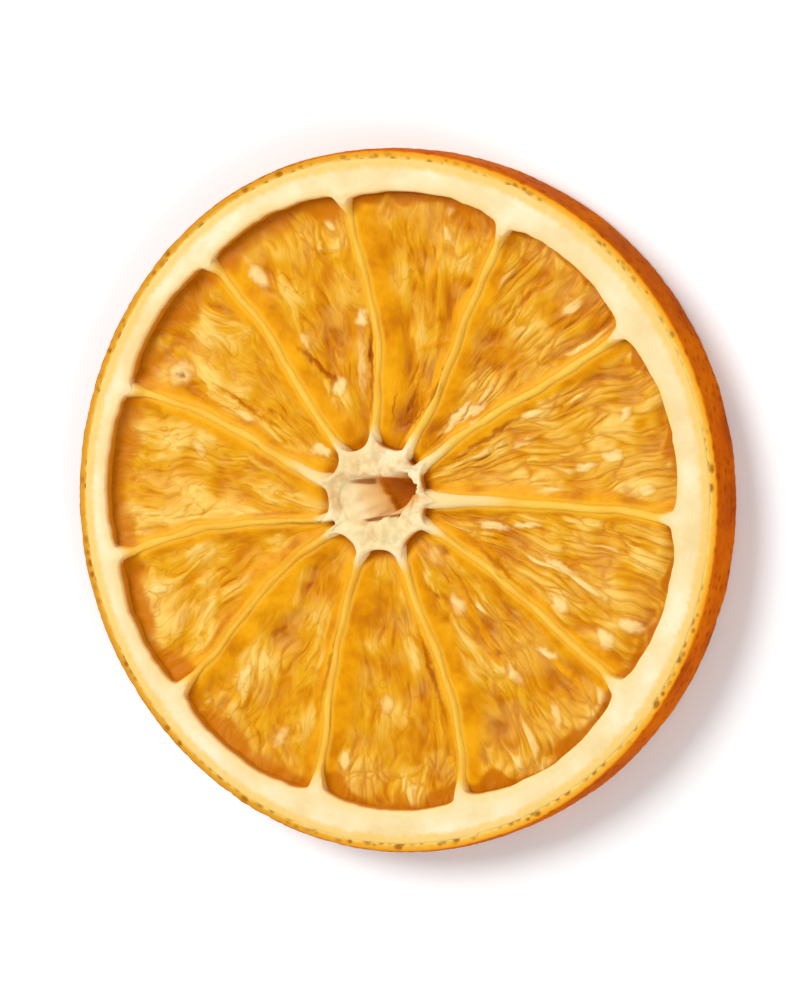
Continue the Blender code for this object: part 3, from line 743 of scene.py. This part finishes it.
def pulp_surface(segment, face):
    """One face of a segment's pulp, as points and the marks that its material needs."""
    across = np.linspace(0.0, 1.0, ACROSS_STEPS + 1)[None, :]
    out = np.linspace(-0.02, 1.012, ALONG_STEPS + 1)[:, None]
    inside = np.clip(out, 0.0, 1.0)
    start, end = skin_angle(segment, inside), skin_angle(segment + 1, inside)
    angle = start + (end - start) * across
    near, far = pulp_start(segment, across), pulp_end(segment, across)
    radius = near + (far - near) * out
    x = CORE_CENTRE[0] * (1 - inside) + radius * np.cos(angle)
    y = CORE_CENTRE[1] * (1 - inside) + radius * np.sin(angle)

    width = (end - start) * face_radius(inside)
    from_first = across * width - skin_half_widths(segment, segment, inside)[0]
    from_last = (1.0 - across) * width - skin_half_widths(segment, segment + 1, inside)[0]
    from_skin = np.minimum(from_first, from_last)
    from_pith, from_core = (far - near) * (1.0 - out), (far - near) * out

    seed = 100.0 * segment + (0 if face == SHOWN_FACE else 50)
    u, v = (across - 0.5) * np.sqrt(width * 9.0), from_core + 0.0 * across
    swirl = 0.3 + PALENESS[segment]
    bent = u + swirl * ripple(v / 6.0, u / 4.0, seed + 1) + 0.16 * ripple(v / 1.8, u / 1.1, seed + 2)
    drawn = v + 1.5 * ripple(u / 1.5, v / 5.0, seed + 3)
    sac_width, sac_length = SAC_WIDTHS[segment], SAC_LENGTHS[segment]
    gap, number = cells(bent / sac_width, drawn / sac_length, seed + 4)[1:]
    bundle_gap, bundle_number = cells(bent / (2.3 * sac_width), drawn / (1.7 * sac_length), seed + 16)[1:]
    gap, number = np.minimum(gap, 1.8 * bundle_gap), (number + bundle_number) % 1.0
    dome = smooth_step(0.0, 0.42, gap)
    patches = 1.3 * ripple(x / 4.4, y / 4.4, seed + 5) + 0.6 * ripple(x / 2.0, y / 2.0, seed + 6)
    folds = ripple(bent / 1.5, drawn / 7.0, seed + 7) + 0.5 * ripple(bent / 0.7, drawn / 4.0, seed + 8)
    wrinkles = creases(bent / 1.1, drawn / 6.0, 0.16, seed + 9)
    wrinkles = wrinkles * smooth_step(-0.1, 0.4, ripple(x / 2.6, y / 2.6, seed + 10))
    pimples = ripple(bent / 0.5, drawn / 1.0, seed + 17)

    wander = 1.0 + 0.5 * ripple(v / 3.6, u / 2.5, seed + 11)
    bank = np.maximum(*(
        smooth_step(1.0, 0.1, from_side / (bank_width * wander))
        for from_side, bank_width in zip((from_first, from_last), BANK_WIDTHS[segment])
    ))
    wandering = from_pith + 1.3 * ripple(u / 3.0, 0.0 * u, seed + 12) + 0.6 * ripple(u / 1.2, v / 1.6, seed + 13)
    # The pulp sinks in pockets along the pith; they are also painted darker as shade.
    pocket = smooth_step(0.9, 0.15, wandering / POCKET_WIDTHS[segment])
    by_core = smooth_step(1.6, 0.2, from_core)
    film = (1.0 - 0.85 * bank) * (1.0 - 0.5 * pocket) * (0.5 + 0.5 * smooth_step(0.0, 6.0, from_core))
    packing = SACS_SHOWING[segment] + SACS_BY_PITH[segment] * smooth_step(5.5, 1.5, from_pith)
    packed = film * smooth_step(0.25, 0.85, packing + 0.6 * ripple(x / 4.4, y / 4.4, seed + 14))
    plump_and_glint, sunken, strand = (
        drops(x, y, table, seed + 15) if face == SHOWN_FACE else 0.0 * x
        for table in (PLUMP_GLINTING_SACS, SUNKEN_SPOTS, STRANDS)
    )
    # Random sacs also stand plump and get painted glints.
    plump_and_glint = np.maximum(plump_and_glint, 0.7 * packed * smooth_step(0.04, 0.75, gap) * (number > 0.85))

    bed = PULP_HEIGHT - PULP_SAG * np.sin(math.pi * across) * (1 - pocket) - POCKET_DEPTHS[segment] * pocket
    shrunk = PATCH_HEIGHT * patches + FOLD_HEIGHT * folds - WRINKLE_DEPTH * wrinkles + PIMPLE_HEIGHT * pimples
    bed = bed - DIP_BY_CORE * by_core + film * shrunk
    bed = bed + packed * SAC_HEIGHT * ((0.6 + 0.7 * number) * dome - 0.6)
    bed = bed + PLUMP_HEIGHT * plump_and_glint - SUNKEN_DEPTH * sunken + STRAND_HEIGHT * strand
    hem = smooth_step(HEM_WIDTH, 0.0, from_skin) * smooth_step(0.0, 1.2, from_core)
    height = bed + (PULP_BESIDE_SKIN - bed) * np.maximum(bank * smooth_step(0.0, 2.0, from_core), hem)
    height = height - TUCK_UNDER_SKIN * smooth_step(-0.14, -0.3, from_skin)
    height[:, (0, -1)] = 0.0
    height[(0, -1), :] = 0.0
    # Painted light and shade: the pulp is lighter on its patches, folds, pimples and domed sacs and darker in its
    # wrinkles and sunken spots, on top of each segment's own paleness and each sac's own random tone.
    light = 0.5 + 0.5 * (PALENESS[segment] - 0.4)
    light = light + film * (0.24 * patches + 0.22 * folds - 0.26 * wrinkles + 0.08 * pimples)
    light = light + packed * (0.1 + 0.16 * (dome - 0.7) + 0.26 * (number - 0.45)) - 0.5 * sunken
    rim = smooth_step(0.02, 0.15, plump_and_glint) * smooth_step(0.4, 0.2, plump_and_glint)
    seam = packed * smooth_step(0.2, 0.02, gap) * smooth_step(-0.8, 0.3, ripple(x / 1.4, y / 1.4, seed + 20))
    # The painted line of shade along the pith and the core.
    from_end = np.minimum(from_pith / EDGE_SHADOW_LINES[segment], 0.8 * from_core)
    edge_shadow = np.exp(-np.maximum(from_end, 0.0) / EDGE_SHADOW_WIDTH)
    marks = {
        "light": np.clip(light, 0.0, 1.0),
        "plump_and_glint": np.clip(plump_and_glint, 0.0, 1.0),
        "bank": np.maximum(bank * (1.0 - plump_and_glint), 0.9 * strand),
        "packed": packed,
        "seam": np.maximum(seam * (1.0 - plump_and_glint), 0.7 * rim),
        "threaded": (0.45 + 0.55 * packed) * (1.0 - 0.7 * bank),
        # Where the painted crease shade shows.
        "crease_shaded": (1.0 - 0.85 * packed) * (1.0 - 0.8 * bank) + 0.0 * x,
        # Painted shade in the pockets along the pith and in the dip by the core.
        "pocket": np.maximum(pocket + 0.0 * x, 0.7 * by_core),
        "sunken": sunken,
        "hem": hem,
        "edge": edge_shadow * np.minimum(1.0, EDGE_SHADOW_LINES[segment] + by_core) + 0.0 * x,
        "grain": np.stack([bent, drawn, 0.0 * x + seed], axis=-1),
    }
    return laid_down(x, y, face * height), marks


def wide_faces(index):
    """Faces two steps wide that still take in every point on the edge, so they close onto the finer face."""
    last_row, last_column = index.shape[0] - 1, index.shape[1] - 1
    faces = []
    for row in range(0, last_row, 2):
        for column in range(0, last_column, 2):
            turn = ((0, 0), (0, 1), (0, 2), (1, 2), (2, 2), (2, 1), (2, 0), (1, 0))
            loop = [(row + up, column + along) for up, along in turn]
            faces.append([
                index[r, c] for r, c in loop
                if (r % 2 == 0 and c % 2 == 0) or r in (0, last_row) or c in (0, last_column)
            ])
    return faces


def pulp_piece(name, segment):
    """Both faces of a segment's pulp, the shown one finer, joined round their edge."""
    top, top_marks = pulp_surface(segment, SHOWN_FACE)
    low, low_marks = pulp_surface(segment, UNDERSIDE)
    rows, columns = top.shape[:2]
    inner = np.zeros((rows, columns), bool)
    inner[2:-2:2, 2:-2:2] = True
    above = np.arange(rows * columns).reshape(rows, columns)
    below = above.copy()
    below[inner] = rows * columns + np.arange(inner.sum())
    points = np.concatenate([top.reshape(-1, 3), low[inner]])
    shown = np.stack([above[:-1, :-1], above[1:, :-1], above[1:, 1:], above[:-1, 1:]], axis=-1)
    hidden = wide_faces(below)
    corners = np.concatenate([shown.ravel(), *hidden])
    sides = [4] * (shown.size // 4) + [len(face) for face in hidden]
    marks = {}
    for mark_name, values in top_marks.items():
        low_values = low_marks[mark_name][inner].reshape(inner.sum(), -1)
        marks[mark_name] = np.concatenate([values.reshape(rows * columns, -1), low_values])
    return made_piece(name, points, corners, marks, sides)


def along_grain(tree, scale, shift=(0.0, 0.0, 0.0)):
    """A place in the pulp's own grain, across and along its sacs."""
    node = tree.nodes.new("ShaderNodeMapping")
    node.inputs["Location"].default_value = shift
    node.inputs["Scale"].default_value = scale
    tree.links.new(mark(tree, "grain", "Vector"), node.inputs["Vector"])
    return node.outputs["Vector"]


amber, tree, shader = new_material("dried_pulp", 0.3, 0.06)
place = tree.nodes.new("ShaderNodeTexCoord").outputs["Object"]
fine = speckle(tree, along_grain(tree, (1.8, 0.6, 1.0)), 1.0, 4.0, 0.6)
threads = arithmetic(tree, "SUBTRACT", speckle(tree, along_grain(tree, (5.5, 0.4, 1.0)), 1.0, 2.0), 0.5)
threads = arithmetic(tree, "MULTIPLY", threads, mark(tree, "threaded"))
# Painted shade: thin dark crease lines across the smooth film, with no relief under them.
crease_lines = speckle(tree, along_grain(tree, (1.1, 0.32, 1.0), (3.0, 7.0, 0.0)), 1.0, 1.0, 0.5)
off_crease = arithmetic(tree, "ABSOLUTE", arithmetic(tree, "SUBTRACT", crease_lines, 0.5), 0.0)
crease_shade = arithmetic(tree, "MULTIPLY", spread(tree, off_crease, 0.004, 0.035, 0.4, 0.0), mark(tree, "crease_shaded"))
clouds = speckle(tree, place, 330.0, 3.0)
# The light mark's painted light and shade, with painted light on the fine relief that the bump also draws.
tone_and_shading = arithmetic(tree, "ADD", mark(tree, "light"), arithmetic(tree, "MULTIPLY", fine, 0.4))
tone_and_shading = arithmetic(tree, "ADD", tone_and_shading, arithmetic(tree, "MULTIPLY", threads, 0.5))
tone_and_shading = arithmetic(tree, "SUBTRACT", tone_and_shading, 0.2)
flesh = colour_ramp(
    tree, tone_and_shading, (0.05, 182, 98, 0), (0.35, 210, 133, 0), (0.62, 224, 162, 24), (0.95, 240, 202, 106)
)
hazed = arithmetic(tree, "ADD", clouds, arithmetic(tree, "MULTIPLY", mark(tree, "packed"), 0.08))
hazy = blend_colours(tree, spread(tree, hazed, 0.46, 0.7, 0.0, 0.4), flesh, linear(232, 180, 82))
crease_shaded = blend_colours(tree, crease_shade, hazy, linear(196, 118, 14))
seamed = tinted(tree, crease_shaded, "seam", 0.1, 1.0, 0.5, (200, 122, 30))
strips = colour_ramp(tree, clouds, (0.34, 200, 118, 0), (0.48, 222, 146, 0), (0.64, 234, 164, 8))
banked = blend_colours(tree, spread(tree, mark(tree, "bank"), 0.0, 0.6, 0.0, 0.9), seamed, strips)
hemmed = tinted(tree, banked, "hem", 0.2, 1.0, 0.7, (238, 178, 48))
streaked = arithmetic(tree, "ADD", arithmetic(tree, "MULTIPLY", fine, 1.4), 0.3)
# Painted glints on the plump sacs, streaked by the fine grain.
plump_and_glint = arithmetic(tree, "MULTIPLY", mark(tree, "plump_and_glint"), streaked)
plumped_and_glinting = blend_colours(tree, spread(tree, plump_and_glint, 0.05, 0.8, 0.0, 0.9), hemmed, linear(244, 212, 142))
# Painted shade in the pockets and the dip by the core.
pocket_shaded = tinted(tree, plumped_and_glinting, "pocket", 0.1, 1.0, 0.85, (196, 110, 0))
reddened = tinted(tree, pocket_shaded, "sunken", 0.1, 0.9, 0.75, (172, 88, 10))
# Painted shade along the pith and the core.
edge_shadowed = tinted(tree, reddened, "edge", 0.25, 1.0, 0.85, (158, 88, 4))
tree.links.new(edge_shadowed, shader.inputs["Base Color"])
tree.links.new(spread(tree, fine, 0.3, 0.7, 0.22, 0.42), shader.inputs["Roughness"])
relief(tree, shader, arithmetic(tree, "ADD", fine, threads), 0.00008)
let_light_in(shader, 0.35, (1.0, 0.6, 0.1), 0.0006)
for segment in range(SEGMENTS):
    pulp = pulp_piece(f"pulp_{segment + 1:02d}", segment)
    pulp.data.materials.append(amber)
    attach(pulp, "root")
    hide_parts("orange_slice")


# Studio
# A plain white floor sweeps up into a wall all round, far outside the picture. It glows a little out there, where
# the lights hardly reach. A large soft light stands behind the slice on the left and a weaker one in front on the
# right, and the sky over the studio fills the shadows.
FLOOR_RADIUS = 1.4
SWEEP_RADIUS = 0.7
WALL_HEIGHT = 1.6
FLOOR_COLUMNS = 96
FLOOR_RINGS = (0.12, 0.35, 0.45, 0.55, 0.65, 0.75, 0.9)
GLOW_STRENGTH = 0.6
SKY_STRENGTH = 0.34
WHITE = (1.0, 1.0, 1.0, 1.0)
turn = np.radians(np.linspace(0.0, 90.0, 13))
profile = [(ring_radius, 0.0) for ring_radius in FLOOR_RINGS]
profile += list(zip(FLOOR_RADIUS + SWEEP_RADIUS * np.sin(turn), SWEEP_RADIUS * (1.0 - np.cos(turn))))
profile.append((FLOOR_RADIUS + SWEEP_RADIUS, WALL_HEIGHT))
turns = np.linspace(0.0, 2.0 * math.pi, FLOOR_COLUMNS, endpoint=False)
points = [(0.0, 0.0, 0.0)] + [(r * math.cos(t), r * math.sin(t), h) for r, h in profile for t in turns]
following = [(k, (k + 1) % FLOOR_COLUMNS) for k in range(FLOOR_COLUMNS)]
floor_faces = [(0, 1 + k, 1 + after) for k, after in following]
for row in range(len(profile) - 1):
    low, high = 1 + row * FLOOR_COLUMNS, 1 + (row + 1) * FLOOR_COLUMNS
    floor_faces += [(low + k, high + k, high + after, low + after) for k, after in following]
floor_mesh = bpy.data.meshes.new("studio_floor")
floor_mesh.from_pydata(points, [], floor_faces)
floor_mesh.shade_smooth()
glow = [smooth_step(0.35, 0.9, math.hypot(px, py)) * smooth_step(0.4, 0.15, pz) for px, py, pz in points]
floor_mesh.attributes.new("glow", "FLOAT", "POINT").data.foreach_set("value", glow)
floor = bpy.data.objects.new("studio_floor", floor_mesh)
bpy.context.scene.collection.objects.link(floor)
paint, tree, shader = new_material("studio_white", 0.8, 0.1)
shader.inputs["Base Color"].default_value = (0.96, 0.96, 0.96, 1.0)
shader.inputs["Emission Color"].default_value = WHITE
glowing = arithmetic(tree, "MULTIPLY", mark(tree, "glow"), GLOW_STRENGTH)
tree.links.new(glowing, shader.inputs["Emission Strength"])
paint.cycles.emission_sampling = "NONE"
floor.data.materials.append(paint)

world = bpy.data.worlds.new("studio_sky")
world.use_nodes = True
world.node_tree.nodes["Background"].inputs["Color"].default_value = WHITE
world.node_tree.nodes["Background"].inputs["Strength"].default_value = SKY_STRENGTH
bpy.context.scene.world = world
bpy.context.scene.view_settings.view_transform = "Standard"


def soft_light(name, position, size, power):
    """A round area light that faces the slice, with its size in metres and its power in watts."""
    light = bpy.data.lights.new(name, "AREA")
    light.shape = "DISK"
    light.size = size
    light.energy = power
    lamp = bpy.data.objects.new(name, light)
    lamp.location = position
    lamp.rotation_euler = (-Vector(position)).to_track_quat("-Z", "Y").to_euler()
    bpy.context.scene.collection.objects.link(lamp)


soft_light("key_light", (-0.42, 0.36, 0.62), 0.5, 5.7)
soft_light("fill_light", (0.6, -0.35, 0.5), 0.5, 2.5)


# Camera
# It looks down on the slice from above, 25 degrees over towards its right side, as the photo shows it. Its lens is
# long, so the near and the far rim look nearly the same size, as they do in the photo.
TILT_DEG = 24.7
LEAN_DEG = 11.7
LENS = 180.0
DISTANCE = 0.455
TARGET = (0.0, 0.0, 0.0024)
tilt, lean = math.radians(TILT_DEG), math.radians(LEAN_DEG)
major = Vector((-math.sin(lean), math.cos(lean), 0.0))
minor = Vector((math.cos(lean) * math.cos(tilt), math.sin(lean) * math.cos(tilt), -math.sin(tilt)))
to_camera = minor.cross(major).normalized()
right = major * -math.sin(lean) + minor * math.cos(lean)
up = major * math.cos(lean) + minor * math.sin(lean)
camera = bpy.data.objects.new("camera", bpy.data.cameras.new("camera"))
camera.data.lens = LENS
camera.data.clip_start = 0.01
place_camera = Matrix((right, up, to_camera)).transposed().to_4x4()
place_camera.translation = Vector(TARGET) + to_camera * DISTANCE
camera.matrix_world = place_camera
bpy.context.scene.collection.objects.link(camera)
bpy.context.scene.camera = camera
